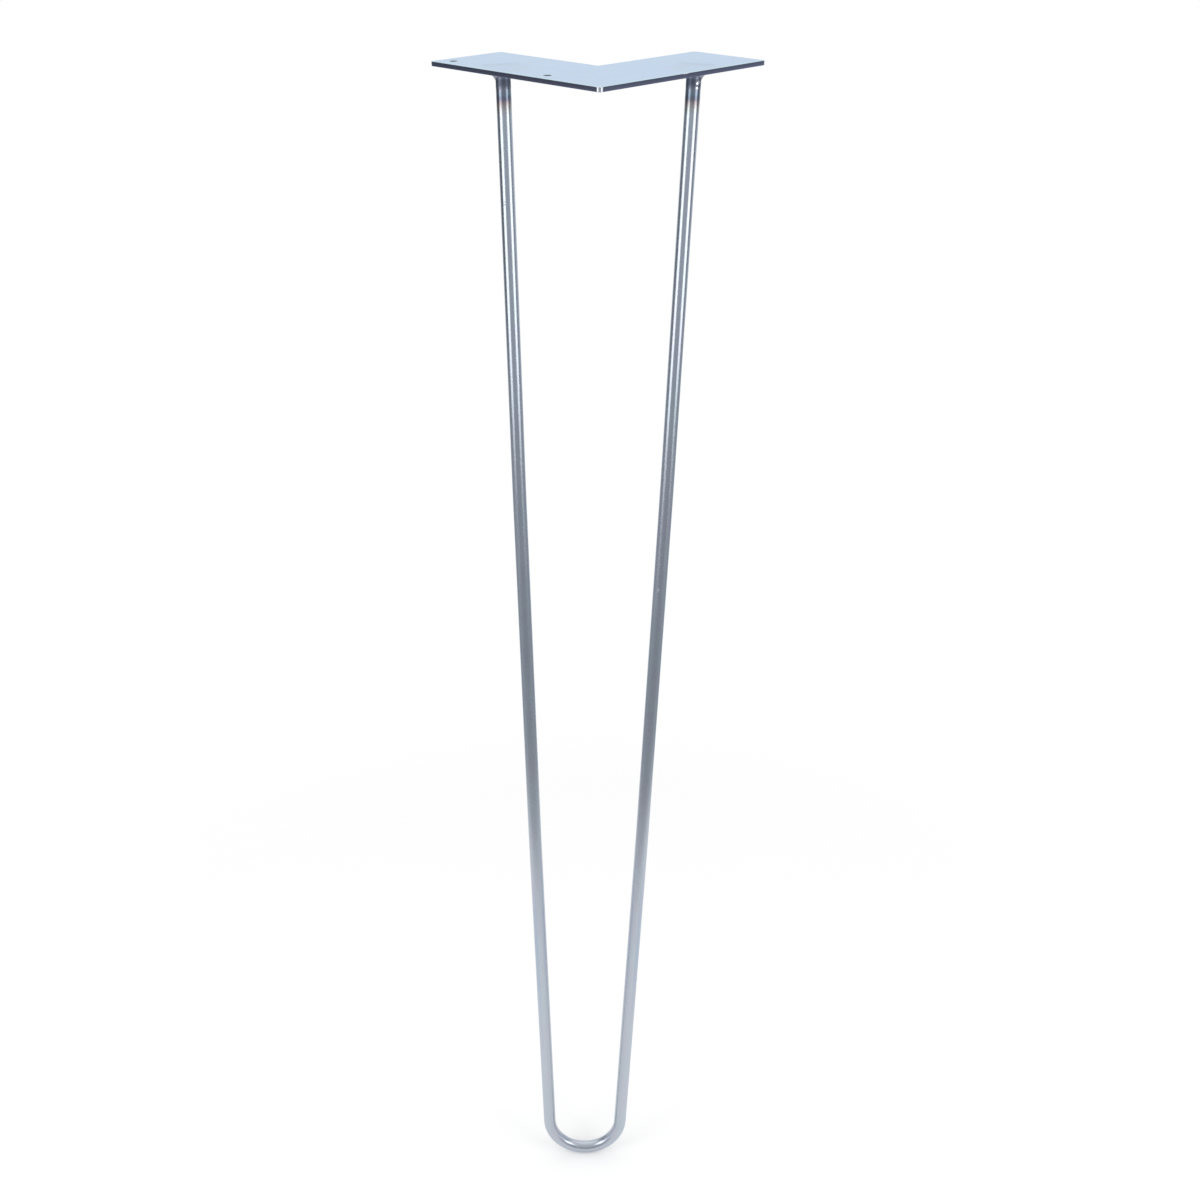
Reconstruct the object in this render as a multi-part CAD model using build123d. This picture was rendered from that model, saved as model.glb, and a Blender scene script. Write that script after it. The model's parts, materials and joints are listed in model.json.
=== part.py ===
from build123d import *
from math import acos, atan2, cos, degrees, hypot, radians, sin
import os

# Hairpin table leg: one round bar bent to a U, its two ends welded under a flat L-shaped plate.
# The origin lies on the plate's top face, where the centre lines of the two arms cross.
# +X runs along the right arm, +Y along the left arm (seen from outside the corner), +Z is up.

# Mounting plate, in millimetres
ARM_LENGTH = 127.0      # outer corner to the tip of an arm, measured along the outer edge
ARM_WIDTH = 50.8
PLATE_THICKNESS = 2.4
CORNER_RADIUS = 2.2     # outer corner and the four corners of the arm tips
NOTCH_RADIUS = 1.2      # inside corner of the L
EDGE_BREAK = 0.2        # chamfer round the cut outline, above and below

# Screw holes, in the left arm, one each side of the bar
HOLE_DIAMETER = 4.2
HOLE_INSET = 9.0        # outer edge to the hole centres, and arm tip to the first of them
HOLE_SPACING = 72.3     # hole to hole, along the arm

# Bent bar
BAR_DIAMETER = 7.94
BAR_REACH = 80.6        # outer corner to a bar end, along the outer edge
BAR_INSET = 10.4        # outer edge to the middle of a bar end
LEG_BOW = 1.3           # how far the middle third of each leg stands outwards of a straight line
LEG_BOW_RADIUS = 5000.0  # the two slight bends that bow each leg
BEND_RADIUS = 24.4      # centre line of the bend at the foot
HEIGHT = 711.2          # plate top face to the lowest point of the foot
FOOT_OUT = 9.6          # how far the foot stands out past the plate's outer corner
FOOT_SIDE = 11.2        # how far the foot stands off the plate's diagonal, towards the left arm

# Weld beads, a fillet round each bar end that is fuller on the side of the arm's tip
WELD_LEG_TIP = 3.8      # bar surface to the bead's edge on the plate, on the side of the tip
WELD_LEG_CORNER = 1.0   # the same, on the side of the outer corner
WELD_DROP = 5.0         # how far the bead runs down the bar, on the side of the tip
WELD_HOLLOW = 0.6       # how far the bead's face is hollowed in from flat

bar_radius = BAR_DIAMETER / 2
corner = Vector(-ARM_WIDTH / 2, -ARM_WIDTH / 2, 0)
underside = Vector(0, 0, -PLATE_THICKNESS)
along_right_arm = Vector(1, 0, 0)
along_left_arm = Vector(0, 1, 0)
outward = (along_right_arm + along_left_arm).normalized() * -1
leftward = (along_left_arm - along_right_arm).normalized()


def on_arm(along, across, reach, inset):
    """The point of the top face at a reach along an arm and an inset from its outer edge."""
    return corner + along * reach + across * inset


left_end = on_arm(along_left_arm, along_right_arm, BAR_REACH, BAR_INSET) + underside
right_end = on_arm(along_right_arm, along_left_arm, BAR_REACH, BAR_INSET) + underside
foot_height = Vector(0, 0, bar_radius - HEIGHT)
foot = corner + outward * FOOT_OUT + leftward * FOOT_SIDE + foot_height


def make_plate():
    """The flat L with rounded corners, broken edges and its two screw holes."""
    tip = ARM_LENGTH
    width = ARM_WIDTH
    outline = Polyline((0, 0), (tip, 0), (tip, width), (width, width), (width, tip), (0, tip), close=True)
    face = Pos(corner.X, corner.Y, -PLATE_THICKNESS) * make_face(outline)
    plate = extrude(face, PLATE_THICKNESS, dir=(0, 0, 1))
    notch = corner + Vector(width, width)
    upright = plate.edges().filter_by(Axis.Z).sort_by_distance(notch)
    plate = fillet(upright[1:], CORNER_RADIUS)
    upright = plate.edges().filter_by(Axis.Z).sort_by_distance(notch)
    plate = fillet(upright[0], NOTCH_RADIUS)
    level = plate.faces().filter_by(Axis.Z)
    plate = chamfer(level.edges(), EDGE_BREAK)
    first_hole = ARM_LENGTH - HOLE_INSET
    for reach in (first_hole, first_hole - HOLE_SPACING):
        centre = on_arm(along_left_arm, along_right_arm, reach, HOLE_INSET) + underside / 2
        plate -= Pos(centre) * Cylinder(HOLE_DIAMETER / 2, 2 * PLATE_THICKNESS)
    return plate


def touch_angle(point, turn):
    """Angle round the bend's centre where a line from a point touches the bend's centre line."""
    rise = point.Y - BEND_RADIUS
    swing = acos(BEND_RADIUS / hypot(point.X, rise))
    return degrees(atan2(rise, point.X) + turn * swing)


def leg_corners(end, turn):
    """The two slight bends in a leg, and its top a little way past the bar end."""
    angle = radians(touch_angle(end, turn))
    out = Vector(cos(angle), sin(angle))
    touch = Vector(0, BEND_RADIUS) + out * BEND_RADIUS
    low = touch + (end - touch) / 3 + out * LEG_BOW
    high = touch + (end - touch) * 2 / 3 + out * LEG_BOW
    top = end + (end - high).normalized() * BAR_DIAMETER
    return low, high, top


def make_bar():
    """The round bar: two slightly bowed legs and the bend between them, cut off level under the plate."""
    middle = (left_end + right_end) / 2
    across = leftward * -1
    climb = middle - foot
    climb = (climb - across * climb.dot(across)).normalized()
    bend_plane = Plane(origin=foot, x_dir=across, z_dir=across.cross(climb))
    left_low, left_high, left_top = leg_corners(bend_plane.to_local_coords(left_end), 1)
    right_low, right_high, right_top = leg_corners(bend_plane.to_local_coords(right_end), -1)
    start = touch_angle(left_low, 1)
    finish = touch_angle(right_low, -1) + 360
    bend = CenterArc((0, BEND_RADIUS), BEND_RADIUS, start, finish - start)
    left_leg = FilletPolyline(left_top, left_high, left_low, bend @ 0, radius=LEG_BOW_RADIUS)
    right_leg = FilletPolyline(bend @ 1, right_low, right_high, right_top, radius=LEG_BOW_RADIUS)
    path = bend_plane * Wire([*left_leg.edges(), bend, *right_leg.edges()])
    section = Plane(origin=path @ 0, z_dir=path % 0) * Circle(bar_radius)
    bar = sweep(section, path=path)
    return split(bar, bisect_by=Plane(underside), keep=Keep.BOTTOM)


def make_weld(bar_end, towards_tip, bar):
    """A hollow-faced fillet round one bar end, turned about an axis set off towards the tip."""
    offset = (WELD_LEG_TIP - WELD_LEG_CORNER) / 2
    reach = bar_radius + (WELD_LEG_TIP + WELD_LEG_CORNER) / 2
    toe = bar_radius - offset
    face_line = SagittaArc((toe, -WELD_DROP), (reach, 0), WELD_HOLLOW)
    rest = Polyline((reach, 0), (0, 0), (0, -WELD_DROP), (toe, -WELD_DROP))
    profile = Plane.XZ * make_face([face_line, *rest.edges()])
    bead = Pos(bar_end + towards_tip * offset) * revolve(profile, Axis.Z)
    return bead - bar


plate = make_plate()
bar = make_bar()
nodes = {
    "mounting_plate": plate,
    "hairpin_bar": bar,
    "weld_bead_left": make_weld(left_end, along_left_arm, bar),
    "weld_bead_right": make_weld(right_end, along_right_arm, bar),
}

os.makedirs("parts", exist_ok=True)
for name, solid in nodes.items():
    export_step(solid, f"parts/{name}.step")
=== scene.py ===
import json
from math import acos, asin, atan2, cos, hypot, pi, radians, sin, sqrt, tan

import bmesh
import bpy
from bpy.props import FloatProperty, FloatVectorProperty, PointerProperty
from mathutils import Matrix, Vector


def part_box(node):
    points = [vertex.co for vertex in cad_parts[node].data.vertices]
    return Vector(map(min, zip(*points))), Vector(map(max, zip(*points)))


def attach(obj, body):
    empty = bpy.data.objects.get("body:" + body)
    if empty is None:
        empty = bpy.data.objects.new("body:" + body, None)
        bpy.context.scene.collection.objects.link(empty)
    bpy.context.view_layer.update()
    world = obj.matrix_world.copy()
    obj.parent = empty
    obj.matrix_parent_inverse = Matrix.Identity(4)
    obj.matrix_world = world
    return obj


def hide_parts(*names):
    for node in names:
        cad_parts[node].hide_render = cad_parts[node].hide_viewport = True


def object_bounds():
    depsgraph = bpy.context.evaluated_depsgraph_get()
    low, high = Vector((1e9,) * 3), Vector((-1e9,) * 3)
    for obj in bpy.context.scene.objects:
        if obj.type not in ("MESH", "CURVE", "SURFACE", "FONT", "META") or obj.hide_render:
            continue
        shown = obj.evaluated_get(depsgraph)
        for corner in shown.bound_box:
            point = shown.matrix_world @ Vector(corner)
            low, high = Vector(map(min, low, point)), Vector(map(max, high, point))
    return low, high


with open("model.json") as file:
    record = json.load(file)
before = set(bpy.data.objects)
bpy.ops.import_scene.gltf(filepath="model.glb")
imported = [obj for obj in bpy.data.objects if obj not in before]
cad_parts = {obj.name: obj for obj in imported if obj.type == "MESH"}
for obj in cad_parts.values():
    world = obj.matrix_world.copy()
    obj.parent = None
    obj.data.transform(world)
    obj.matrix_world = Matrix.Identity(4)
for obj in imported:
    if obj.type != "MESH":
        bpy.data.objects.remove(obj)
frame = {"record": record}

bl_info = {
    "name": "Hairpin table leg",
    "version": (1, 0, 0),
    "blender": (4, 5, 0),
    "location": "3D View > Sidebar > Hairpin leg",
    "description": "Bare steel hairpin leg: a bent bar welded under an L-shaped plate",
    "category": "Object",
}

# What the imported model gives, in metres
CAD_BOX = [list(corner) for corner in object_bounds()]
PLATE_LOW, PLATE_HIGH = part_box("mounting_plate")
SCREW_HOLES = next(mount for mount in frame["record"]["mounts"] if mount["name"] == "screw_holes")
MM = 0.001

# Directions, seen from outside the plate's corner as the camera sees the leg
UP = Vector((0, 0, 1))
TO_RIGHT_TIP = Vector((1, 0, 0))
TO_LEFT_TIP = Vector((0, 1, 0))
RIGHTWARD = (TO_RIGHT_TIP - TO_LEFT_TIP).normalized()
INWARD = (TO_RIGHT_TIP + TO_LEFT_TIP).normalized()

# How finely the round shapes are divided
BAR_SIDES = 64
LEG_STEPS = 8
BOW_STEPS = 6
BEND_STEPS = 72
CORNER_STEPS = 12
HOLE_SIDES = 48
EDGE_STEPS = 3
BEAD_STEPS = 160
BEAD_FACE_STEPS = 12
BEAD_HALVINGS = 30
CURTAIN_STEPS = 96
FLOOR_SIDES = 128

# Points nearer than this are one point, in metres
SAME_PLACE = 1e-7

# Edges where faces meet at more than this stay sharp
SHARP_TURN = radians(40)

# Edges where the sheet's cut walls meet its flat faces turn by more than this
RIM_TURN = radians(60)

# Marks on the plate in mm: dark stains that the welds' heat left on its top, along the right arm and
# the left arm from the outer corner, their half size, and a nick in the right arm's upper edge
STAINS = ((13, 93.5), (18, 91), (24, 88.5), (93.5, 13), (91, 18), (88.5, 24))
STAIN_SIZE = (6, 6, 6)
NICK_REACH = 62.3
NICK_SIZE = (2.9, 0.6, 0.5)

# Painted highlight on the plate's rounded outer corner in mm: its middle from the outer corner, and its
# half sizes
CORNER_HIGHLIGHT_INSET = 0.9
CORNER_HIGHLIGHT_SIZE = (2.4, 2.4, 20)

# Marks on the bar: mm from a bar end, the share of the radius outwards, and the half sizes in mm
# Bare-metal spots in the scale by the right weld; their extra brightness is a painted highlight
FLECKS_AND_GLINTS = ((4.4, 0.70, (1.3, 1.3, 0.9)), (5.2, 0.50, (1.3, 1.3, 0.9)), (7.5, 0.45, (1.1, 1.1, 0.8)))
SPECK = (288.0, -0.26, (0.8, 0.8, 1.4))
SCUFFS = ((64.6, 0.32, (1.2, 1.2, 0.4)), (66.0, 0.34, (1.3, 1.3, 0.45)))

# Where the low cards begin and end, to each side of the camera
CARD_TURNS = (radians(45), radians(120))

# Vertex attribute of the bar: its surface as if the bar were straight, in metres
UNROLLED = "unrolled"


def length(name, description, default):
    """A size in metres that a user may change."""
    return FloatProperty(
        name=name, description=description, default=default, unit="LENGTH", precision=5
    )


def angle(name, description, degrees):
    """An angle that a user may change, stored in radians."""
    return FloatProperty(name=name, description=description, default=radians(degrees), subtype="ANGLE")


def share(name, description, default):
    """A plain number without a unit."""
    return FloatProperty(name=name, description=description, default=default, min=0)


def colour(name, description, default):
    """A linear colour that a user may change."""
    return FloatVectorProperty(
        name=name, description=description, default=default, subtype="COLOR", min=0, max=1
    )


class PlateSettings(bpy.types.PropertyGroup):
    """Sizes and colours of the flat L-shaped plate"""

    arm_length: length("Arm length", "Outer corner to the tip of an arm", PLATE_HIGH.x - PLATE_LOW.x)
    arm_width: length("Arm width", "Width of both arms", 50.8 * MM)
    thickness: length("Thickness", "Thickness of the sheet", PLATE_HIGH.z - PLATE_LOW.z)
    corner_radius: length("Corner radius", "Rounding of the outer corner and the tips", 2.2 * MM)
    notch_radius: length("Notch radius", "Rounding of the inside corner", 1.2 * MM)
    edge_break: length("Edge break", "How far the cut edges are broken", 0.22 * MM)
    hole_radius: length("Hole radius", "Radius of a screw hole", SCREW_HOLES["dims"]["hole_r_mm"] * MM)
    hole_spacing: length("Hole spacing", "Hole to hole", SCREW_HOLES["dims"]["spacing_y_mm"] * MM)
    steel: colour("Sheet", "Colour of the sheet", (0.511, 0.588, 0.732))
    glance: colour("Sheet at a glance", "Tint of the sheet seen at a low angle", (0.87, 0.97, 1.0))
    # Painted highlight: a paler, cooler colour for the strip along the top's outer edges, standing in
    # for the light those edges catch
    edge_highlight: colour("Painted edge highlight", "Colour of the top along its outer edges", (0.53, 0.67, 0.73))
    cut_edge: colour("Cut edge", "Colour of the cut edge", (0.268, 0.288, 0.425))
    # Bright bare metal in the holes and a nick, and a painted highlight on the outer corner
    bright_metal_and_highlight: colour("Bright metal and highlight", "Colour of the corner, the holes and a nick", (0.62, 0.64, 0.66))


class BarSettings(bpy.types.PropertyGroup):
    """Sizes and colours of the bent bar"""

    diameter: length("Diameter", "Diameter of the round bar", 7.94 * MM)
    reach: length("Reach", "Outer corner to a bar end, along the outer edge", 80.6 * MM)
    inset: length("Inset", "Outer edge to the middle of a bar end", 10.4 * MM)
    leg_bow: length("Leg bow", "How far the middle third of each leg stands outwards", 1.3 * MM)
    bow_radius: length("Bow radius", "The two slight bends that bow each leg", 5.0)
    bend_radius: length("Bend radius", "Centre line of the bend at the foot", 24.4 * MM)
    foot_out: length("Foot out", "How far the foot stands out past the outer corner", 9.6 * MM)
    foot_side: length("Foot aside", "How far the foot stands off the diagonal, to the left", 11.2 * MM)
    steel: colour("Bar", "Colour of the bright bar", (0.514, 0.557, 0.616))
    scale: colour("Scale", "Share of the bar's colour in the skin by the weld", (0.257, 0.265, 0.309))
    collar: colour("Collar", "Share of it in the paler ring at the weld's edge", (0.412, 0.42, 0.475))
    grey: colour("Grey", "Share of it in the thin skin further down", (0.494, 0.50, 0.542))
    blue: colour("Blue", "Share of it in the hottest temper colour", (0.422, 0.50, 0.552))
    slate: colour("Slate", "Share of it in the dark line below the blue", (0.355, 0.37, 0.43))
    purple: colour("Purple", "Share of it in the temper colour below that", (0.453, 0.40, 0.437))
    brown: colour("Brown", "Share of it in the temper colour below the purple", (0.66, 0.54, 0.50))
    straw: colour("Straw", "Share of it in the coolest temper colour", (0.925, 0.86, 0.765))


class WeldSettings(bpy.types.PropertyGroup):
    """Sizes and colours of the two weld beads"""

    leg_tip: length("Leg at the tip", "Bar to the bead's edge, towards the arm's tip", 3.8 * MM)
    leg_corner: length("Leg at the corner", "Bar to the bead's edge, towards the corner", 1.0 * MM)
    drop: length("Drop", "How far the bead runs down the bar", 5.0 * MM)
    hollow: length("Hollow", "How far the bead's face is hollowed in", 0.6 * MM)
    ripple: length("Ripple", "Height of the ripples", 0.12 * MM)
    steel: colour("Weld", "Colour of the weld metal", (0.30, 0.31, 0.36))
    tint: colour("Weld tint", "Purple tint in the weld's skin", (0.30, 0.29, 0.345))


class StageSettings(bpy.types.PropertyGroup):
    """Camera, floor and light"""

    lens: FloatProperty(name="Lens", description="Focal length on a 36 mm sensor", default=43.72)
    camera_aside: length("Camera aside", "Camera to the right of the plate's outer corner", -7.23 * MM)
    camera_back: length("Camera back", "Camera out in front of the outer corner", 731.78 * MM)
    camera_rise: length("Camera rise", "Camera above the plate's top face", 111.36 * MM)
    camera_pitch: angle("Camera pitch", "How far the camera looks down", 28.025)
    camera_yaw: angle("Camera yaw", "How far the camera turns to its right", 0.55)
    camera_roll: angle("Camera roll", "How far the camera leans to its right", 0.07)
    floor_radius: length("Floor radius", "Radius of the pale floor round the foot", 0.56)
    floor_grey: share("Floor paleness", "How much of the light on it the floor gives back", 0.82)
    box_aside: angle("Softbox angle", "Softboxes to each side of the camera", 56)
    box_distance: length("Softbox distance", "Softboxes from the leg", 1.0)
    box_width: length("Softbox width", "Width of a softbox", 0.62)
    box_height: length("Softbox height", "Height of a softbox", 0.7)
    box_middle: length("Softbox middle", "Middle of a softbox above the plate", -0.03)
    box_power: FloatProperty(
        name="Softbox power", description="Power of a softbox", default=2.6, unit="POWER"
    )
    fill: share("Fill", "Strength of the soft light from all round", 0.89)
    curtain_radius: length("Curtain radius", "Dark curtain from the leg", 1.6)
    curtain_top: length("Curtain top", "Curtain's upper edge above the plate", 0.45)
    curtain_bottom: length("Curtain bottom", "Curtain's lower edge below the plate", 1.7)
    curtain_reach: angle("Curtain reach", "Curtain to each side of the camera", 138)
    curtain_front: share("Curtain front", "Grey of the curtain behind the camera", 0.53)
    curtain_left: share("Curtain left", "Grey of the curtain at the left", 0.10)
    curtain_right: share("Curtain right", "Grey of the curtain at the right", 0.20)
    curtain_back_left: share("Curtain back left", "Grey of its left end, behind the leg", 0.27)
    curtain_back_right: share("Curtain back right", "Grey of its right end, behind the leg", 0.75)
    curtain_low: share("Curtain low", "Grey of its lower part behind the camera", 0.36)
    curtain_low_side: share("Curtain low side", "Grey of its lower part at the sides", 0.46)
    curtain_tint: colour("Curtain tint", "Cool tint of the curtain and the cards", (0.89, 0.94, 1.0))
    card_distance: length("Card distance", "Low cards from the foot, one to each side", 0.2)
    card_height: length("Card height", "Height of the low cards", 0.095)
    card_grey: share("Card grey", "Grey of the low cards", 0.94)
    ceiling_height: length("Ceiling height", "Pale ceiling above the plate", 0.9)
    ceiling_radius: length("Ceiling radius", "Radius of the ceiling", 1.7)
    ceiling_fall: share("Ceiling fall", "How much greyer it is for each metre towards the camera", 0.3)


class LegSettings(bpy.types.PropertyGroup):
    """All settings of the leg"""

    plate: PointerProperty(type=PlateSettings)
    bar: PointerProperty(type=BarSettings)
    weld: PointerProperty(type=WeldSettings)
    stage: PointerProperty(type=StageSettings)


class Wire:
    """An output of a shader graph. Sums on wires add Math nodes to the graph."""

    def __init__(self, graph, socket):
        self.graph = graph
        self.socket = socket

    def math(self, operation, first, second):
        return self.graph.node("ShaderNodeMath", {"operation": operation}, {0: first, 1: second})

    def __add__(self, other):
        return self.math("ADD", self, other)

    def __radd__(self, other):
        return self.math("ADD", other, self)

    def __sub__(self, other):
        return self.math("SUBTRACT", self, other)

    def __rsub__(self, other):
        return self.math("SUBTRACT", other, self)

    def __mul__(self, other):
        return self.math("MULTIPLY", self, other)

    def __rmul__(self, other):
        return self.math("MULTIPLY", other, self)

    def __truediv__(self, other):
        return self.math("DIVIDE", self, other)

    def __abs__(self):
        return self.math("ABSOLUTE", self, 0)

    def least(self, other):
        return self.math("MINIMUM", self, other)

    def most(self, other):
        return self.math("MAXIMUM", self, other)


class Graph:
    """The nodes of one material or of the world."""

    def __init__(self, tree):
        self.tree = tree
        self.tree.nodes.clear()

    def node(self, kind, settings, inputs, output=0):
        """Adds a node, gives it its settings and then its sockets, and returns one of its outputs."""
        node = self.tree.nodes.new(kind)
        for name, value in settings.items():
            if name == "stops":
                self.set_stops(node.color_ramp, value)
            else:
                setattr(node, name, value)
        for key, value in inputs.items():
            if isinstance(value, Wire):
                self.tree.links.new(value.socket, node.inputs[key])
            else:
                node.inputs[key].default_value = value
        return Wire(self, node.outputs[output]) if node.outputs else None

    def set_stops(self, ramp, stops):
        """Gives a colour ramp its stops, each a position and a linear colour."""
        for _ in stops[2:]:
            ramp.elements.new(1.0)
        for element, (position, value) in zip(ramp.elements, stops):
            element.position = position
            element.color = (*value, 1.0)

    def place(self):
        """A point's place in the leg's own frame."""
        return self.node("ShaderNodeTexCoord", {}, {}, "Object")

    def split(self, vector, axis):
        return self.node("ShaderNodeSeparateXYZ", {}, {0: vector}, axis)

    def along(self, vector, direction):
        """How far a point lies along a direction from the origin."""
        sockets = {0: vector, 1: direction}
        return self.node("ShaderNodeVectorMath", {"operation": "DOT_PRODUCT"}, sockets, "Value")

    def noise(self, vector, per_metre, detail=3.0, roughness=0.55):
        """Soft noise from 0 to 1, with its waves per metre along each axis."""
        scaled = self.node("ShaderNodeMapping", {}, {"Vector": vector, "Scale": per_metre})
        sockets = {"Vector": scaled, "Scale": 1.0, "Detail": detail, "Roughness": roughness}
        return self.node("ShaderNodeTexNoise", {}, sockets)

    def step(self, value, low, high):
        """A smooth step from 0 at low to 1 at high."""
        sockets = {"Value": value, "From Min": low, "From Max": high}
        return self.node("ShaderNodeMapRange", {"interpolation_type": "SMOOTHSTEP"}, sockets)

    def distance(self, vector, centre, stretch):
        """How far a point is from a centre, each axis divided by its stretch."""
        away = self.node("ShaderNodeVectorMath", {"operation": "SUBTRACT"}, {0: vector, 1: centre})
        scaled = self.node("ShaderNodeVectorMath", {"operation": "DIVIDE"}, {0: away, 1: stretch})
        return self.node("ShaderNodeVectorMath", {"operation": "LENGTH"}, {0: scaled}, "Value")

    def spots(self, vector, places):
        """1 inside small soft-edged ellipsoids, each given by its centre and its three half sizes."""
        away = [self.distance(vector, centre, size) for centre, size in places]
        inside = [1 - self.step(spot, 0.45, 1.0) for spot in away]
        together = inside[0]
        for spot in inside[1:]:
            together = together.most(spot)
        return together

    def blend(self, factor, first, second, blend_type="MIX"):
        """Two colours mixed by a factor."""
        settings = {"data_type": "RGBA", "blend_type": blend_type}
        sockets = {0: factor, 6: opaque(first), 7: opaque(second)}
        return self.node("ShaderNodeMix", settings, sockets, 2)

    def brighten(self, value, level):
        """A colour times a level."""
        grey = self.node("ShaderNodeCombineColor", {}, {0: level, 1: level, 2: level})
        return self.blend(1.0, value, grey, "MULTIPLY")

    def bump(self, height, depth, strength):
        """A normal tilted by a height from 0 to 1 that stands for a depth in metres."""
        sockets = {"Height": height, "Distance": depth, "Strength": strength}
        return self.node("ShaderNodeBump", {}, sockets)

    def steel(self, base, roughness, normal, glance):
        """Bare metal as the graph's surface."""
        sockets = {
            "Base Color": base,
            "Roughness": roughness,
            "Normal": normal,
            "Metallic": 1.0,
            "Specular Tint": opaque(glance),
        }
        self.surface(self.node("ShaderNodeBsdfPrincipled", {}, sockets))

    def surface(self, shader):
        self.node("ShaderNodeOutputMaterial", {}, {"Surface": shader})


def opaque(value):
    """A colour with its alpha, or the wire that carries one."""
    return value if isinstance(value, Wire) else (*value, 1.0)


def new_material(name):
    """A new material and its empty graph."""
    material = bpy.data.materials.new(name)
    material.use_nodes = True
    return material, Graph(material.node_tree)


class BarRun:
    """Where the bar runs: its ends under the plate, its two legs and the bend at the foot."""

    def __init__(self, plate, bar):
        self.corner = PLATE_LOW.xy.to_3d()
        self.radius = bar.diameter / 2
        self.bend_radius = bar.bend_radius
        underside = -plate.thickness * UP
        self.left_end = self.corner + TO_LEFT_TIP * bar.reach + TO_RIGHT_TIP * bar.inset + underside
        self.right_end = self.corner + TO_RIGHT_TIP * bar.reach + TO_LEFT_TIP * bar.inset + underside
        foot_line = UP * (CAD_BOX[0][2] + self.radius)
        self.foot = self.corner - INWARD * bar.foot_out - RIGHTWARD * bar.foot_side + foot_line
        climb = (self.left_end + self.right_end) / 2 - self.foot
        self.climb = (climb - RIGHTWARD * climb.dot(RIGHTWARD)).normalized()
        self.normal = RIGHTWARD.cross(self.climb)
        self.centre = self.foot + self.climb * self.bend_radius
        self.start = self.touch_angle(self.left_end, 1)
        self.finish = self.touch_angle(self.right_end, -1) + 2 * pi
        self.left_touch = self.on_bend(self.start)
        self.right_touch = self.on_bend(self.finish)
        self.left_leg = (self.left_end - self.left_touch).length
        self.right_leg = (self.right_end - self.right_touch).length
        self.bend = self.bend_radius * (self.finish - self.start)
        self.total = self.left_leg + self.bend + self.right_leg
        self.leg_bow = bar.leg_bow
        self.bow_radius = bar.bow_radius
        self.left_line, self.bend_start = self.leg_line(self.left_end, self.left_touch, self.start, 1)
        self.right_line, leave = self.leg_line(self.right_end, self.right_touch, self.finish, -1)
        self.bend_finish = leave + 2 * pi

    def leg_line(self, end, touch, turn, side):
        """A leg's corners from the bend to past the bar end, and the angle where it leaves the bend."""
        bow = self.outward(turn) * self.leg_bow
        low, high = (touch.lerp(end, part) + bow for part in (1 / 3, 2 / 3))
        top = end + (end - high).normalized() * 2 * self.radius
        leave = self.touch_angle(low, side)
        return (self.on_bend(leave), low, high, top), leave

    def bow(self, part):
        """How far a leg stands outwards, at a part of its length."""
        return self.leg_bow * max(0, min(1, 3 * part, 3 - 3 * part))

    def touch_angle(self, end, turn):
        """Angle round the bend's centre where a straight leg from a bar end touches the bend."""
        across = (end - self.centre).dot(RIGHTWARD)
        rise = (end - self.centre).dot(self.climb)
        return atan2(rise, across) + turn * acos(self.bend_radius / hypot(across, rise))

    def outward(self, turn):
        """Direction from the bend's centre at an angle."""
        return RIGHTWARD * cos(turn) + self.climb * sin(turn)

    def on_bend(self, turn):
        return self.centre + self.outward(turn) * self.bend_radius

    def mark(self, from_end, outwards, size, right=False):
        """The centre and the half sizes of a mark on the unrolled bar's outer side.

        It lies a distance from a bar end, and a share of the radius outwards from the other leg."""
        along = self.total - from_end * MM if right else from_end * MM
        centre = Vector((outwards * self.radius, sqrt(1 - outwards**2) * self.radius, along))
        return centre, Vector(size) * MM

    def unroll(self, point):
        """A point of the surface with the bar laid straight: two places across and one along it."""
        aside = (point - self.centre).dot(self.normal)
        up_left = (self.left_end - self.left_touch).normalized()
        up_right = (self.right_end - self.right_touch).normalized()
        left_rise = (point - self.left_touch).dot(up_left)
        right_rise = (point - self.right_touch).dot(up_right)
        from_centre = point - self.centre
        leftward_side = from_centre.dot(RIGHTWARD) < 0
        if leftward_side and left_rise > 0:
            out = (point - self.left_touch).dot(self.outward(self.start))
            out -= self.bow(left_rise / self.left_leg)
            return Vector((out, aside, self.left_leg - left_rise))
        if not leftward_side and right_rise > 0:
            out = (point - self.right_touch).dot(self.outward(self.finish))
            out -= self.bow(right_rise / self.right_leg)
            return Vector((out, aside, self.left_leg + self.bend + right_rise))
        flat = from_centre - self.normal * aside
        turn = atan2(flat.dot(self.climb), flat.dot(RIGHTWARD))
        turn += 2 * pi if turn < self.start - pi / 2 else 0
        along = self.left_leg + self.bend_radius * (turn - self.start)
        return Vector((flat.length - self.bend_radius, aside, along))


def upright_ring(place, axis, side):
    """A matrix that lays a circle across an axis, with its first point to one side."""
    across = axis.cross(side).normalized()
    columns = (across.cross(axis).normalized(), across, axis.normalized())
    turned = Matrix(columns).transposed().to_4x4()
    return Matrix.Translation(place) @ turned


def ring_edges(verts):
    """The edges that join a ring of vertices, in the order of the vertices."""
    members = set(verts)
    touching = dict.fromkeys(edge for vert in verts for edge in vert.link_edges)
    return [edge for edge in touching if members.issuperset(edge.verts)]


def draw_circle(bm, radius, sides, place):
    """Adds an open circle where a matrix lays it, and gives its edges."""
    circle = bmesh.ops.create_circle(bm, cap_ends=False, radius=radius, segments=sides, matrix=place)
    return ring_edges(circle["verts"])


def draw_out(bm, edges, travel, steps):
    """Extrudes a ring of edges along a straight line in equal steps, and gives the last ring."""
    for _ in range(steps):
        made = bmesh.ops.extrude_edge_only(bm, edges=edges)["geom"]
        verts = [item for item in made if isinstance(item, bmesh.types.BMVert)]
        edges = ring_edges(verts)
        bmesh.ops.translate(bm, verts=verts, vec=travel / steps)
    return edges


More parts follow.
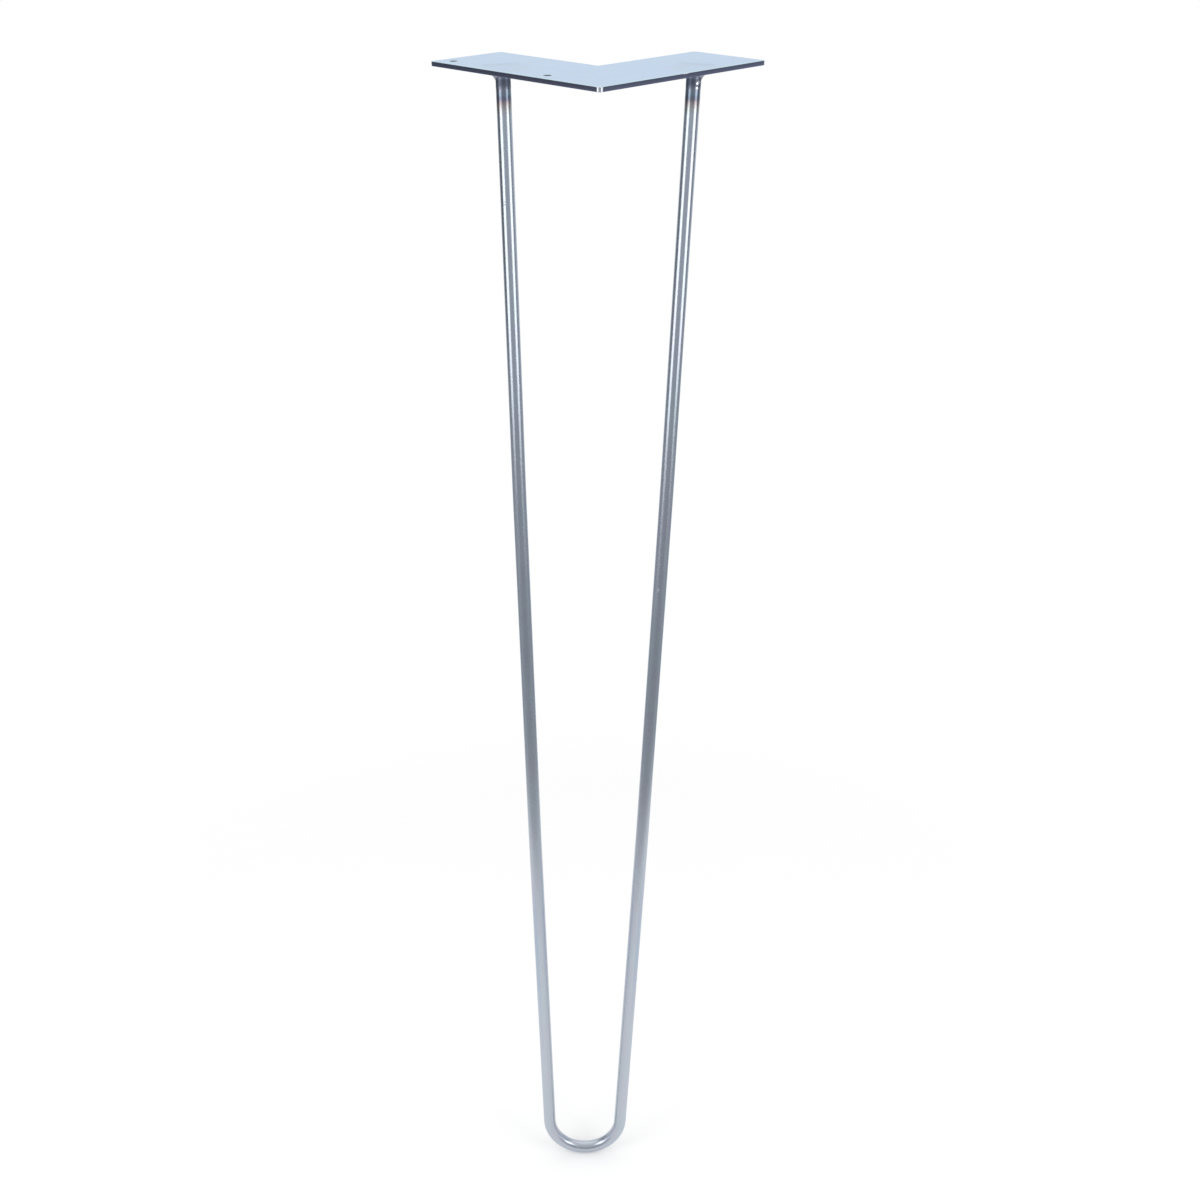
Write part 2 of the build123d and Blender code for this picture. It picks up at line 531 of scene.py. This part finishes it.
def spin_ring(bm, edges, centre, axis, turn, steps):
    """Spins a ring of edges round an axis, and gives the last ring."""
    made = bmesh.ops.spin(
        bm, geom=edges, cent=centre, axis=axis, angle=turn, steps=steps, use_merge=False
    )
    return [item for item in made["geom_last"] if isinstance(item, bmesh.types.BMEdge)]


def follow(bm, edges, corners, radius):
    """Draws a ring of edges along a line with slightly bent corners, and gives the last ring."""
    place = corners[0]
    for before, corner, after in zip(corners, corners[1:], corners[2:]):
        into = (corner - before).normalized()
        out = (after - corner).normalized()
        axis = into.cross(out)
        turn = asin(axis.length)
        spare = radius * tan(turn / 2)
        edges = draw_out(bm, edges, corner - into * spare - place, LEG_STEPS)
        centre = corner + (out - into).normalized() * radius / cos(turn / 2)
        edges = spin_ring(bm, edges, centre, axis, turn, BOW_STEPS)
        place = corner + out * spare
    return draw_out(bm, edges, corners[-1] - place, LEG_STEPS)


def tidy_shell(bm):
    """Merges doubles and turns all faces outwards."""
    bmesh.ops.remove_doubles(bm, verts=bm.verts[:], dist=SAME_PLACE)
    bmesh.ops.recalc_face_normals(bm, faces=bm.faces[:])


def add_piece(bm, name, material, node):
    """Makes a piece from a bmesh, in place of a CAD node."""
    for face in bm.faces:
        face.smooth = True
    for edge in bm.edges:
        edge.smooth = edge.calc_face_angle(0) < SHARP_TURN
    mesh = bpy.data.meshes.new(name)
    bm.to_mesh(mesh)
    bm.free()
    piece = bpy.data.objects.new(name, mesh)
    piece.data.materials.append(material)
    bpy.context.scene.collection.objects.link(piece)
    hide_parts(node)
    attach(piece, "root")
    return piece


def weigh_normals(piece):
    """Keeps flat faces flat beside their rounded edges."""
    modifier = piece.modifiers.new("Weighted normals", "WEIGHTED_NORMAL")
    modifier.mode = "FACE_AREA"
    modifier.weight = 100
    modifier.keep_sharp = True


def round_corners(bm, verts, radius):
    """Rounds corners of a flat sheet."""
    bmesh.ops.bevel(
        bm,
        geom=verts,
        offset=radius,
        offset_type="OFFSET",
        segments=CORNER_STEPS,
        profile=0.5,
        affect="VERTICES",
        material=-1,
    )


def cut_line(bm, place, direction, clear_outer=False):
    """Cuts all faces along a plane, and may clear away what lies beyond it."""
    bmesh.ops.bisect_plane(
        bm,
        geom=bm.verts[:] + bm.edges[:] + bm.faces[:],
        plane_co=place,
        plane_no=direction,
        clear_outer=clear_outer,
        dist=SAME_PLACE,
    )


def open_hole(bm, centre, radius):
    """Makes a round hole in a flat sheet, inside a square cell cut round it."""
    cell = 2 * radius
    for direction in (TO_RIGHT_TIP, TO_LEFT_TIP):
        cut_line(bm, centre + direction * cell, direction)
        cut_line(bm, centre - direction * cell, direction)
    square = min(bm.faces, key=lambda face: (face.calc_center_median() - centre).length)
    sides = square.edges[:]
    bmesh.ops.delete(bm, geom=[square], context="FACES_ONLY")
    bmesh.ops.subdivide_edges(bm, edges=sides, cuts=HOLE_SIDES // len(sides) - 1)
    near = 1.5 * cell
    borders = [edge for edge in bm.edges if edge.is_boundary]
    rim = [edge for edge in borders if (edge.verts[0].co - centre).length < near]
    circle = draw_circle(bm, radius, HOLE_SIDES, Matrix.Translation(centre))
    bmesh.ops.bridge_loops(bm, edges=rim + circle)


def hole_centres(plate):
    """The middles of both screw holes, on the plate's top face."""
    middle = Vector(SCREW_HOLES["pos_m"])
    return [middle + TO_LEFT_TIP * side * plate.hole_spacing / 2 for side in (-1, 1)]


def make_plate(plate):
    """The flat L with its rounded corners, its screw holes and a broken edge all round."""
    bm = bmesh.new()
    tip = plate.arm_length
    width = plate.arm_width
    outline = ((0, 0), (tip, 0), (tip, width), (width, width), (width, tip), (0, tip))
    corner = PLATE_LOW.xy
    corners = [bm.verts.new((corner.x + x, corner.y + y, 0)) for x, y in outline]
    bm.faces.new(corners)
    notch = corners[3]
    round_corners(bm, [vert for vert in corners if vert is not notch], plate.corner_radius)
    round_corners(bm, [notch], plate.notch_radius)
    holes = hole_centres(plate)
    for centre in holes:
        open_hole(bm, centre, plate.hole_radius)
    bmesh.ops.recalc_face_normals(bm, faces=bm.faces[:])
    bmesh.ops.solidify(bm, geom=bm.faces[:], thickness=plate.thickness)
    tidy_shell(bm)
    rims = [edge for edge in bm.edges if edge.calc_face_angle(0) > RIM_TURN]
    cell = 2 * plate.hole_radius
    outer = [edge for edge in rims if all((edge.verts[0].co - hole).length > cell for hole in holes)]
    bmesh.ops.bevel(
        bm,
        geom=outer,
        offset=plate.edge_break,
        offset_type="OFFSET",
        segments=EDGE_STEPS,
        profile=0.5,
        affect="EDGES",
        material=-1,
    )
    return bm


def make_bar(run):
    """The round bar: drawn down one leg, spun round the bend, drawn up the other and cut off level."""
    bm = bmesh.new()
    left_line = run.left_line[::-1]
    lay = upright_ring(left_line[0], left_line[1] - left_line[0], run.normal)
    edges = draw_circle(bm, run.radius, BAR_SIDES, lay)
    edges = follow(bm, edges, left_line, run.bow_radius)
    turn = run.bend_finish - run.bend_start
    edges = spin_ring(bm, edges, run.centre, run.normal, turn, BEND_STEPS)
    follow(bm, edges, run.right_line, run.bow_radius)
    cut_line(bm, run.left_end, UP, clear_outer=True)
    bmesh.ops.holes_fill(bm, edges=[edge for edge in bm.edges if edge.is_boundary], sides=0)
    tidy_shell(bm)
    layer = bm.verts.layers.float_vector.new(UNROLLED)
    for vert in bm.verts:
        vert[layer] = run.unroll(vert.co)
    return bm


class BeadFace:
    """The hollow line of a bead's face, from its toe on the bar to its edge on the plate."""

    def __init__(self, toe, edge, hollow):
        chord = edge - toe
        away = Vector((chord.z, 0, -chord.x)).normalized()
        self.radius = chord.length_squared / (8 * hollow) + hollow / 2
        self.centre = (toe + edge) / 2 + away * (self.radius - hollow)
        self.angle = 2 * asin(chord.length / 2 / self.radius)

    def reach(self, height):
        """How far the face stands from the bead's axis at a height."""
        return self.centre.x - sqrt(self.radius**2 - (height - self.centre.z) ** 2)


def make_bead(weld, run, line, bar_end, towards_tip):
    """A hollow-faced ring, its axis set off towards the arm's tip, rippled and fitted to the bar."""
    bm = bmesh.new()
    offset = towards_tip * (weld.leg_tip - weld.leg_corner) / 2
    toe = Vector((run.radius - offset.length, 0, -weld.drop))
    edge = Vector((run.radius + (weld.leg_tip + weld.leg_corner) / 2, 0, 0))
    face = BeadFace(toe, edge, weld.hollow)
    bmesh.ops.spin(
        bm,
        geom=[bm.verts.new(toe)],
        cent=face.centre,
        axis=TO_LEFT_TIP,
        angle=face.angle,
        steps=BEAD_FACE_STEPS,
        use_merge=False,
    )
    face_line = sorted(bm.verts, key=lambda vert: vert.co.z)
    wall = [bm.verts.new((toe.x / 2, 0, height)) for height in (0, toe.z)]
    for pair in ((face_line[-1], wall[0]), wall, (wall[1], face_line[0])):
        bm.edges.new(pair)
    bmesh.ops.spin(
        bm,
        geom=bm.verts[:] + bm.edges[:],
        cent=(0, 0, 0),
        axis=UP,
        angle=2 * pi,
        steps=BEAD_STEPS,
        use_merge=True,
    )
    tidy_shell(bm)
    ripple_bead(bm, weld)
    up_bar = (line[-1] - line[-2]).normalized()

    def bore(out, height):
        return bar_reach(run, up_bar, offset + UP * height, out)

    fit_bead(bm, face, weld.drop, bore)
    bmesh.ops.translate(bm, verts=bm.verts[:], vec=bar_end + offset)
    return bm


def ripple_bead(bm, weld):
    """Lifts the bead's face in crescents, as the pool of metal froze in steps round the bar."""
    crescents = 17
    lean = 2.2
    margin = 0.02
    downward = -0.75
    for vert in bm.verts:
        drop = -vert.co.z / weld.drop
        if not margin < drop < 1 - margin:
            continue
        turn = atan2(vert.co.y, vert.co.x)
        crest = crescents * turn + lean * (2 * drop - 1) ** 2 + 0.5 * sin(3 * turn)
        height = weld.ripple * (0.5 + 0.5 * cos(crest)) * sqrt(sin(pi * drop))
        outward = Vector((cos(turn), sin(turn), downward)).normalized()
        vert.co += outward * height


def bar_reach(run, up_bar, place, out):
    """How far the bar's surface is in one direction from a place inside it, given from the bar end."""
    across = out - out.project(up_bar)
    aside = place - place.project(up_bar)
    slope = across.dot(aside)
    spare = run.radius**2 - aside.length_squared
    return (sqrt(slope**2 + across.length_squared * spare) - slope) / across.length_squared


def closing_depth(gap, drop):
    """The depth at which a gap closes, found by halving, or the full drop where it stays open."""
    if gap(-drop) > 0:
        return drop
    still_open, closed = 0, drop
    for _ in range(BEAD_HALVINGS):
        middle = (still_open + closed) / 2
        if gap(-middle) > 0:
            still_open = middle
        else:
            closed = middle
    return closed


def fit_bead(bm, face, drop, bore):
    """Ends the bead's face where it meets the bar on each side, and lays its inner wall on the bar."""
    # The inner wall was spun at half the reach of the toe and the face starts at the toe
    inside = 0.75 * face.reach(-drop)
    for vert in bm.verts:
        reach = vert.co.xy.length
        out = Vector((vert.co.x, vert.co.y, 0)).normalized()
        part = closing_depth(lambda height: face.reach(height) - bore(out, height), drop) / drop
        height = part * vert.co.z
        ripple = part * (reach - face.reach(vert.co.z))
        reach = bore(out, height) if reach < inside else face.reach(height) + ripple
        vert.co = out * reach + UP * height
    tidy_shell(bm)


def weld_places(run):
    """Both bar ends: the leg's line up to the end, the end, and the way from there to the tip."""
    return {
        "left": (run.left_line, run.left_end, TO_LEFT_TIP),
        "right": (run.right_line, run.right_end, TO_RIGHT_TIP),
    }


def bright_places(plate, run):
    """The middles and half sizes of the plate's bright places: a nick and both holes of bare metal, and
    a painted highlight on the outer corner.
    """
    nick = (run.corner + TO_RIGHT_TIP * (NICK_REACH * MM), Vector(NICK_SIZE) * MM)
    corner = (run.corner + INWARD * (CORNER_HIGHLIGHT_INSET * MM), Vector(CORNER_HIGHLIGHT_SIZE) * MM)
    bore = Vector((1.6 * plate.hole_radius, 1.6 * plate.hole_radius, 20 * MM))
    return [nick, corner] + [(hole, bore) for hole in hole_centres(plate)]


def plate_finish(plate, run):
    """Cold-rolled sheet: rolling grain, faint cloudiness, heat marks over and under the welds, painted
    highlights along its outer top edges and on its outer corner, and painted shade on the rounded top
    of its cut edge.
    """
    material, graph = new_material("plate_steel")
    place = graph.place()
    height = graph.split(place, "Z")
    grain = graph.noise(place, (90, 2600, 2600), 4)
    clouds = graph.noise(place, (38, 38, 38), 4)
    specks = graph.noise(place, (900, 900, 900), 2)
    streaks = graph.noise(place, (12, 420, 420), 3)
    scratch_turn = 0.5
    sockets = {"Vector": place, "Angle": scratch_turn}
    turned = graph.node("ShaderNodeVectorRotate", {"rotation_type": "Z_AXIS"}, sockets)
    scratches = graph.step(graph.noise(turned, (26, 1100, 300), 1), 0.66, 0.74)
    flat = (1, 1, 1e3)
    from_left = graph.distance(place, run.left_end, flat)
    from_right = graph.distance(place, run.right_end, flat)
    mottle = graph.noise(place, (160, 160, 160), 3)
    heat = from_left.least(from_right) + (mottle - 0.5) * (7 * MM)
    under = 1 - graph.step(height, -0.8 * plate.thickness, -0.5 * plate.thickness)
    normal = graph.node("ShaderNodeNewGeometry", {}, {}, "Normal")
    upward = graph.split(normal, "Z")
    rim = 1 - graph.step(abs(upward), 0.85, 0.97)
    level = 0.92 + 0.06 * clouds + 0.05 * grain + 0.06 * streaks + 0.05 * scratches
    base = graph.brighten(plate.steel, level)
    hues = graph.step(graph.noise(place, (70, 70, 70), 2), 0.35, 0.65)
    hue = graph.blend(hues, (0.97, 1.0, 0.99), (1.0, 0.975, 1.0))
    base = graph.blend(1.0, base, hue, "MULTIPLY")
    ring = graph.step(heat, 5 * MM, 9 * MM) * (1 - graph.step(heat, 11 * MM, 18 * MM))
    base = graph.blend(ring * (0.10 + 0.6 * under), base, (0.44, 0.37, 0.31))
    core = 1 - graph.step(heat, 6 * MM, 11 * MM)
    scorched = (0.16, 0.19, 0.27)
    base = graph.blend(core * (0.05 + 0.35 * under), base, scorched)
    stains = [run.corner + Vector(pair).to_3d() * MM for pair in STAINS]
    stained = graph.spots(place, [(stain, Vector(STAIN_SIZE) * MM) for stain in stains])
    base = graph.blend(0.26 * mottle * stained, base, scorched)
    # Painted highlight: within a few millimetres of its two outer edges the top is painted paler, for
    # the light those edges catch
    border = graph.split(place, "X").least(graph.split(place, "Y")) - run.corner.x
    edge_highlight = 1 - graph.step(border, 1 * MM, 5 * MM)
    base = graph.blend(0.6 * edge_highlight, base, plate.edge_highlight)
    # The cut edge has its own dark colour, paler towards its lower side. Where its rounded top turns
    # upwards it is painted much darker, a painted shade that keeps that rounding from catching the
    # light
    sheared = 1 - graph.step(height, -0.95 * plate.thickness, -0.2 * plate.thickness)
    level = (0.88 + 0.27 * sheared) * (1 - 0.75 * graph.step(upward, 0.05, 0.35))
    base = graph.blend(rim, base, graph.brighten(plate.cut_edge, level))
    # Bright bare metal in a nick and both holes, and a painted highlight on the rounded outer corner
    base = graph.blend(0.9 * graph.spots(place, bright_places(plate, run)), base, plate.bright_metal_and_highlight)
    striae = graph.noise(place, (1900, 1900, 120), 3)
    roughness = (0.26 + 0.10 * clouds + 0.05 * specks + 0.04 * streaks) * (1 - rim) + 0.27 * rim
    relief = grain * (1 - rim) + striae * rim
    tilted = graph.bump(relief, 0.02 * MM, 0.35)
    graph.steel(base, roughness, tilted, plate.glance)
    return material


def bar_finish(bar, run):
    """Drawn bar: fine lines along its length, the colours of the weld's heat at both ends, painted
    shade on the inner sides low down, and painted highlights on bare-metal spots by the right weld.
    """
    material, graph = new_material("bar_steel")
    unrolled = graph.node("ShaderNodeAttribute", {"attribute_name": UNROLLED}, {}, "Vector")
    along = graph.split(unrolled, "Z")
    lines = graph.noise(unrolled, (1600, 1600, 9), 4)
    patches = graph.noise(unrolled, (160, 160, 22), 3)
    ragged = (graph.noise(unrolled, (330, 330, 120), 3) - 0.5) * (0.6 * MM)
    from_weld = along.least(run.total - along) + ragged
    reach = 24 * MM
    stops = (
        (0.06, bar.scale),
        (0.105, bar.collar),
        (0.15, bar.scale),
        (0.24, bar.scale),
        (0.35, bar.grey),
        (0.435, bar.blue),
        (0.515, bar.slate),
        (0.565, bar.purple),
        (0.61, bar.brown),
        (0.745, bar.straw),
        (0.87, (1, 1, 1)),
    )
    temper = graph.node("ShaderNodeValToRGB", {"stops": stops}, {0: from_weld / reach}, "Color")
    # Bare-metal spots in the scale by the right weld, turned to bare steel colour
    flecks_and_glints = graph.spots(unrolled, [run.mark(*fleck, right=True) for fleck in FLECKS_AND_GLINTS])
    speck = graph.spots(unrolled, [run.mark(*SPECK, right=True)])
    scuffs = graph.spots(unrolled, [run.mark(*scuff) for scuff in SCUFFS])
    temper = graph.blend(flecks_and_glints * 0.8, temper, (1, 1, 1))
    base = graph.blend(1.0, bar.steel, temper, "MULTIPLY")
    hues = graph.step(graph.noise(unrolled, (170, 170, 42), 3), 0.35, 0.65)
    hue = graph.blend(hues, (0.97, 1.0, 1.0), (1.0, 0.96, 0.99))
    base = graph.blend(1.0, base, hue, "MULTIPLY")
    # Painted shade: from partway down the legs and round the bend, the sides facing the other leg and
    # the inside of the bend are painted darker
    lower = graph.step(from_weld, 0.30, 0.45)
    inner = 1 - graph.step(graph.split(unrolled, "X"), -0.9 * run.radius, 0.4 * run.radius)
    # The bare-metal spots by the right weld are painted brighter than the bar: a painted highlight on
    # real bare metal
    level = 0.95 + 0.08 * patches + 0.08 * lines + 0.5 * (speck + flecks_and_glints) - 0.3 * scuffs
    level = level - 0.09 * lower * inner
    base = graph.brighten(base, level)
    scaled = (1 - graph.step(from_weld, 5.5 * MM, 9 * MM)) * (1 - flecks_and_glints)
    roughness = 0.195 + 0.08 * patches + 0.05 * lines + 0.2 * scaled + 0.15 * scuffs
    tilted = graph.bump(lines, 0.02 * MM, 0.3)
    glance = (0.92, 0.96, 1.0)
    graph.steel(base, roughness, tilted, glance)
    return material


def weld_finish(weld):
    """Weld metal: dark pitted skin with a purple tint."""
    material, graph = new_material("weld_steel")
    place = graph.place()
    tints = graph.noise(place, (260, 260, 260), 3)
    pits = graph.noise(place, (2200, 2200, 2200), 3)
    base = graph.blend(graph.step(tints, 0.42, 0.62), weld.steel, weld.tint)
    base = graph.brighten(base, 0.8 + 0.4 * pits)
    roughness = 0.28 + 0.15 * pits
    graph.steel(base, roughness, graph.bump(pits, 0.05 * MM, 0.4), (1.0, 1.0, 1.0))
    return material


def seen_directly(graph):
    """1 for rays that show the background: from the camera, in metal and through glass."""
    names = ("Is Camera Ray", "Is Glossy Ray", "Is Transmission Ray")
    camera, mirrored, through = (graph.node("ShaderNodeLightPath", {}, {}, name) for name in names)
    return camera.most(mirrored).most(through)


def floor_finish(stage, centre):
    """Pale floor that keeps the shadow, fades out at its rim and lets a view from below through."""
    material, graph = new_material("pale_floor")
    lit = graph.node("ShaderNodeBsdfDiffuse", {}, {"Color": opaque((stage.floor_grey,) * 3)})
    mirrored = graph.node("ShaderNodeLightPath", {}, {}, "Is Glossy Ray")
    glow = (seen_directly(graph) - 0.4 * mirrored) * (1 - stage.floor_grey)
    white = graph.node("ShaderNodeEmission", {}, {"Color": graph.brighten((1, 1, 1), glow)})
    pale = graph.node("ShaderNodeAddShader", {}, {0: lit, 1: white})
    clear = graph.node("ShaderNodeBsdfTransparent", {}, {})
    out = graph.distance(graph.place(), centre, (stage.floor_radius,) * 3)
    below = graph.node("ShaderNodeNewGeometry", {}, {}, "Backfacing")
    gone = graph.step(out, 0.75, 1.0).most(below)
    graph.surface(graph.node("ShaderNodeMixShader", {}, {0: gone, 1: pale, 2: clear}))
    return material


def curtain_finish(stage):
    """Dark curtain round the camera's side, which the metal mirrors: greyer behind the camera."""
    material, graph = new_material("studio_curtain")
    place = graph.place()
    height = graph.split(place, "Z")
    ahead = graph.along(place, -INWARD) / stage.curtain_radius
    aside = graph.along(place, RIGHTWARD) / stage.curtain_radius
    front = graph.step(ahead, 0.2, 0.85)
    back = 1 - graph.step(ahead, -0.45, -0.02)
    rightward = graph.step(aside, -0.2, 0.2)
    high = graph.step(height, -0.7, -0.25)
    low = 1 - graph.step(height, -0.75, -0.35)
    back_left = stage.curtain_back_left
    back_level = back_left + (stage.curtain_back_right - back_left) * rightward
    front_level = stage.curtain_low + (stage.curtain_front - stage.curtain_low) * high
    side_level = stage.curtain_left + (stage.curtain_right - stage.curtain_left) * rightward
    level = side_level + (front_level - side_level) * front + (back_level - side_level) * back
    low_level = stage.curtain_low_side + (stage.curtain_low - stage.curtain_low_side) * front
    level = level + (low_level - level) * low
    level = level + (stage.curtain_front - level) * graph.step(height, 0.0, 0.35)
    cool = graph.brighten(stage.curtain_tint, level)
    graph.surface(graph.node("ShaderNodeEmission", {}, {"Color": cool}))
    return material


def ceiling_finish(stage):
    """Pale ceiling, brighter behind the leg than above the camera."""
    material, graph = new_material("studio_ceiling")
    level = 1 - stage.ceiling_fall * graph.along(graph.place(), -INWARD)
    graph.surface(graph.node("ShaderNodeEmission", {}, {"Color": graph.brighten((1, 1, 1), level)}))
    return material


def card_finish(stage):
    """Plain pale card."""
    material, graph = new_material("low_card")
    sockets = {"Color": opaque(stage.curtain_tint), "Strength": stage.card_grey}
    graph.surface(graph.node("ShaderNodeEmission", {}, sockets))
    return material


def stage_object(name, bm, material):
    """Makes an object of the stage from a bmesh."""
    mesh = bpy.data.meshes.new(name)
    bm.to_mesh(mesh)
    bm.free()
    mesh.materials.append(material)
    made = bpy.data.objects.new(name, mesh)
    bpy.context.scene.collection.objects.link(made)
    return made


def lay_floor(stage, run):
    """Round floor under the foot."""
    centre = Vector((run.foot.x, run.foot.y, CAD_BOX[0][2]))
    bm = bmesh.new()
    place = Matrix.Translation(centre)
    radius = stage.floor_radius
    bmesh.ops.create_circle(bm, cap_ends=True, radius=radius, segments=FLOOR_SIDES, matrix=place)
    bmesh.ops.recalc_face_normals(bm, faces=bm.faces[:])
    for face in bm.faces:
        if face.normal.z < 0:
            face.normal_flip()
    stage_object("floor", bm, floor_finish(stage, centre))


def only_mirrored(name, bm, finish):
    """Something round the leg that only reflections see."""
    made = stage_object(name, bm, finish)
    made.visible_camera = False
    made.visible_diffuse = False
    made.visible_shadow = False


def hang_wall(name, centre, radius, heights, turns, finish):
    """An upright wall bent round a centre, between two turns from the camera."""
    bm = bmesh.new()
    first = Matrix.Rotation(turns[0], 3, "Z") @ (-INWARD * radius)
    ends = [bm.verts.new(centre + first + UP * height) for height in heights]
    line = bm.edges.new(ends)
    bmesh.ops.spin(
        bm,
        geom=ends + [line],
        cent=centre,
        axis=UP,
        angle=turns[1] - turns[0],
        steps=CURTAIN_STEPS,
        use_merge=False,
    )
    only_mirrored(name, bm, finish)


def hang_curtain(stage):
    """Dark curtain round the camera's side, open behind the leg."""
    heights = (-stage.curtain_bottom, stage.curtain_top)
    turns = (-stage.curtain_reach, stage.curtain_reach)
    hang_wall("curtain", Vector(), stage.curtain_radius, heights, turns, curtain_finish(stage))


def stand_cards(stage, run):
    """A low pale card to each side of the foot."""
    floor = CAD_BOX[0][2]
    heights = (floor, floor + stage.card_height)
    card = card_finish(stage)
    for name, side in (("card_left", -1), ("card_right", 1)):
        turns = [side * turn for turn in CARD_TURNS]
        hang_wall(name, run.foot.xy.to_3d(), stage.card_distance, heights, turns, card)


def hang_ceiling(stage):
    """Round pale ceiling over the leg."""
    bm = bmesh.new()
    place = Matrix.Translation(UP * stage.ceiling_height)
    radius = stage.ceiling_radius
    bmesh.ops.create_circle(bm, cap_ends=True, radius=radius, segments=CURTAIN_STEPS, matrix=place)
    only_mirrored("ceiling", bm, ceiling_finish(stage))


def hang_softboxes(stage):
    """A tall softbox to each side of the camera."""
    for name, side in (("softbox_left", -1), ("softbox_right", 1)):
        light = bpy.data.lights.new(name, "AREA")
        light.shape = "RECTANGLE"
        light.size = stage.box_width
        light.size_y = stage.box_height
        light.energy = stage.box_power
        lamp = bpy.data.objects.new(name, light)
        out = Matrix.Rotation(side * stage.box_aside, 3, "Z") @ -INWARD
        lamp.location = out * stage.box_distance + UP * stage.box_middle
        lamp.rotation_euler = out.to_track_quat("Z", "Y").to_euler()
        lamp.visible_camera = False
        bpy.context.scene.collection.objects.link(lamp)


def light_world(stage):
    """White all round where it is seen, and a softer fill where it lights."""
    world = bpy.data.worlds.new("studio")
    world.use_nodes = True
    graph = Graph(world.node_tree)
    strength = stage.fill + (1 - stage.fill) * seen_directly(graph)
    white = graph.node("ShaderNodeBackground", {}, {"Color": (1, 1, 1, 1), "Strength": strength})
    graph.node("ShaderNodeOutputWorld", {}, {"Surface": white})
    bpy.context.scene.world = world


def place_camera(stage):
    """The camera at the photograph's angle."""
    data = bpy.data.cameras.new("camera")
    data.sensor_width = 36
    data.lens = stage.lens
    camera = bpy.data.objects.new("camera", data)
    place = RIGHTWARD * stage.camera_aside - INWARD * stage.camera_back + UP * stage.camera_rise
    diagonal = radians(45)
    level = radians(90)
    heading = Matrix.Rotation(-diagonal - stage.camera_yaw, 4, "Z")
    pitch = Matrix.Rotation(level - stage.camera_pitch, 4, "X")
    roll = Matrix.Rotation(-stage.camera_roll, 4, "Z")
    camera.matrix_world = Matrix.Translation(PLATE_LOW.xy.to_3d() + place) @ heading @ pitch @ roll
    bpy.context.scene.collection.objects.link(camera)
    bpy.context.scene.camera = camera


class MakePlate(bpy.types.Operator):
    """Makes the mounting plate"""

    bl_idname = "hairpin.make_plate"
    bl_label = "Make the plate"

    def execute(self, context):
        leg = context.scene.hairpin_leg
        run = BarRun(leg.plate, leg.bar)
        finish = plate_finish(leg.plate, run)
        piece = add_piece(make_plate(leg.plate), "flat_plate", finish, "mounting_plate")
        weigh_normals(piece)
        return {"FINISHED"}


class BendBar(bpy.types.Operator):
    """Makes the bent bar"""

    bl_idname = "hairpin.bend_bar"
    bl_label = "Bend the bar"

    def execute(self, context):
        leg = context.scene.hairpin_leg
        run = BarRun(leg.plate, leg.bar)
        add_piece(make_bar(run), "bent_bar", bar_finish(leg.bar, run), "hairpin_bar")
        return {"FINISHED"}


class LayWelds(bpy.types.Operator):
    """Makes the two weld beads"""

    bl_idname = "hairpin.lay_welds"
    bl_label = "Lay the welds"

    def execute(self, context):
        leg = context.scene.hairpin_leg
        run = BarRun(leg.plate, leg.bar)
        finish = weld_finish(leg.weld)
        for side, place in weld_places(run).items():
            bead = make_bead(leg.weld, run, *place)
            add_piece(bead, f"{side}_weld", finish, f"weld_bead_{side}")
        return {"FINISHED"}


class SetStage(bpy.types.Operator):
    """Sets up the camera, the floor and the light"""

    bl_idname = "hairpin.set_stage"
    bl_label = "Set the stage"

    def execute(self, context):
        leg = context.scene.hairpin_leg
        run = BarRun(leg.plate, leg.bar)
        context.scene.view_settings.view_transform = "Standard"
        lay_floor(leg.stage, run)
        hang_curtain(leg.stage)
        stand_cards(leg.stage, run)
        hang_ceiling(leg.stage)
        hang_softboxes(leg.stage)
        light_world(leg.stage)
        place_camera(leg.stage)
        return {"FINISHED"}


class LegPanel(bpy.types.Panel):
    """Settings and steps of the leg"""

    bl_idname = "VIEW3D_PT_hairpin_leg"
    bl_label = "Hairpin leg"
    bl_space_type = "VIEW_3D"
    bl_region_type = "UI"
    bl_category = "Hairpin leg"

    def draw(self, context):
        leg = context.scene.hairpin_leg
        for group, step in (
            (leg.plate, MakePlate),
            (leg.bar, BendBar),
            (leg.weld, LayWelds),
            (leg.stage, SetStage),
        ):
            box = self.layout.box()
            for name in group.__annotations__:
                box.prop(group, name)
            box.operator(step.bl_idname)


CLASSES = (
    PlateSettings,
    BarSettings,
    WeldSettings,
    StageSettings,
    LegSettings,
    MakePlate,
    BendBar,
    LayWelds,
    SetStage,
    LegPanel,
)


def register():
    for cls in CLASSES:
        bpy.utils.register_class(cls)
    bpy.types.Scene.hairpin_leg = PointerProperty(type=LegSettings)


def unregister():
    del bpy.types.Scene.hairpin_leg
    for cls in reversed(CLASSES):
        bpy.utils.unregister_class(cls)


def main():
    register()
    bpy.ops.hairpin.make_plate()
    bpy.ops.hairpin.bend_bar()
    bpy.ops.hairpin.lay_welds()
    bpy.ops.hairpin.set_stage()


if __name__ == "__main__":
    main()
